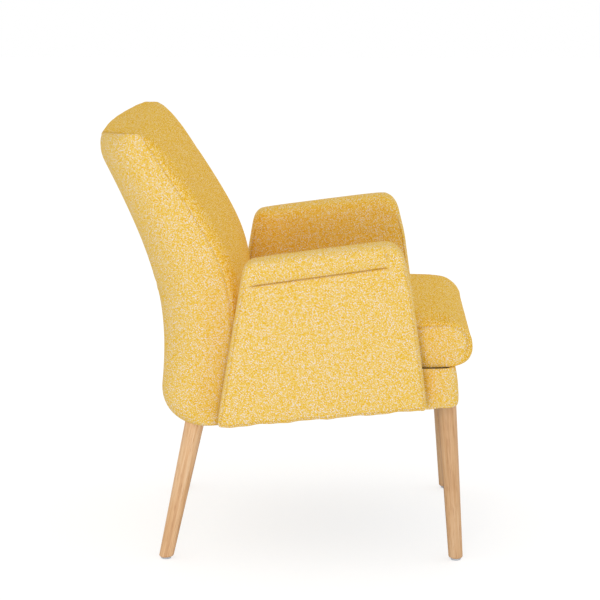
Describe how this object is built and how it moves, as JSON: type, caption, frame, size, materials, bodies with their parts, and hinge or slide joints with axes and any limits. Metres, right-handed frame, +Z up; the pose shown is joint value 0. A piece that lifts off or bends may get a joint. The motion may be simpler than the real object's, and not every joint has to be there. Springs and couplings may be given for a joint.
{
  "type": "upholstered armchair",
  "caption": "Low-back upholstered armchair with slab arms, a raked wrap-round back, a loose lift-out seat cushion and splayed conical wooden legs.",
  "frame": {"origin": "on the floor, under the middle of the chair's outline", "axes": "+Z up; -Y is the way the sitter faces; +X is the sitter's left"},
  "size_m": [0.655, 0.7297, 0.832],
  "materials": {
    "fabric": "heathered yellow upholstery cloth",
    "oak": "light oak, clear matt lacquer",
    "plywood": "raw birch plywood",
    "steel": "zinc plated",
    "webbing": "woven elastic webbing",
    "foam": "open-cell foam",
    "lining": "black non-woven lining",
    "glide": "smooth moulded plastic"
  },
  "bodies": {
    "chair": {"arm_board_left": "plywood", "arm_board_right": "plywood", "arm_bolt_front_left": "steel", "arm_bolt_front_right": "steel", "arm_bolt_rear_left": "steel", "arm_bolt_rear_right": "steel", "arm_edge_band_left": "fabric", "arm_edge_band_right": "fabric", "arm_inner_pad_left": "fabric", "arm_inner_pad_right": "fabric", "arm_outer_pad_left": "fabric", "arm_outer_pad_right": "fabric", "arm_top_roll_left": "fabric", "arm_top_roll_right": "fabric", "back_lumbar_rail": "plywood", "back_pad": "fabric", "back_shell": "fabric", "back_strap_1": "webbing", "back_strap_2": "webbing", "back_strap_3": "webbing", "back_strap_4": "webbing", "back_top_rail": "plywood", "base_side_pad_left": "fabric", "base_side_pad_right": "fabric", "dust_cover": "lining", "foot_glide_front_left": "glide", "foot_glide_front_right": "glide", "foot_glide_rear_left": "glide", "foot_glide_rear_right": "glide", "front_rail": "plywood", "hanger_bolt_front_left": "steel", "hanger_bolt_front_right": "steel", "hanger_bolt_rear_left": "steel", "hanger_bolt_rear_right": "steel", "leg_block_front_left": "plywood", "leg_block_front_right": "plywood", "leg_block_rear_left": "plywood", "leg_block_rear_right": "plywood", "leg_front_left": "oak", "leg_front_right": "oak", "leg_rear_left": "oak", "leg_rear_right": "oak", "rear_rail": "plywood", "seat_border": "fabric", "seat_deck": "lining", "seat_strap_1": "webbing", "seat_strap_2": "webbing", "seat_strap_3": "webbing", "seat_strap_4": "webbing", "seat_strap_5": "webbing", "side_board_left": "plywood", "side_board_right": "plywood", "threaded_insert_front_left": "steel", "threaded_insert_front_right": "steel", "threaded_insert_rear_left": "steel", "threaded_insert_rear_right": "steel"},
    "cushion": {"seat_cushion_core": "foam", "seat_cushion_cover": "fabric", "seat_cushion_underside": "lining"}
  },
  "joints": [
    {"name": "cushion_lift", "type": "slide", "parent": "chair", "child": "cushion", "axis": [0, 0, 1], "range_m": [0, 0.3]}
  ]
}
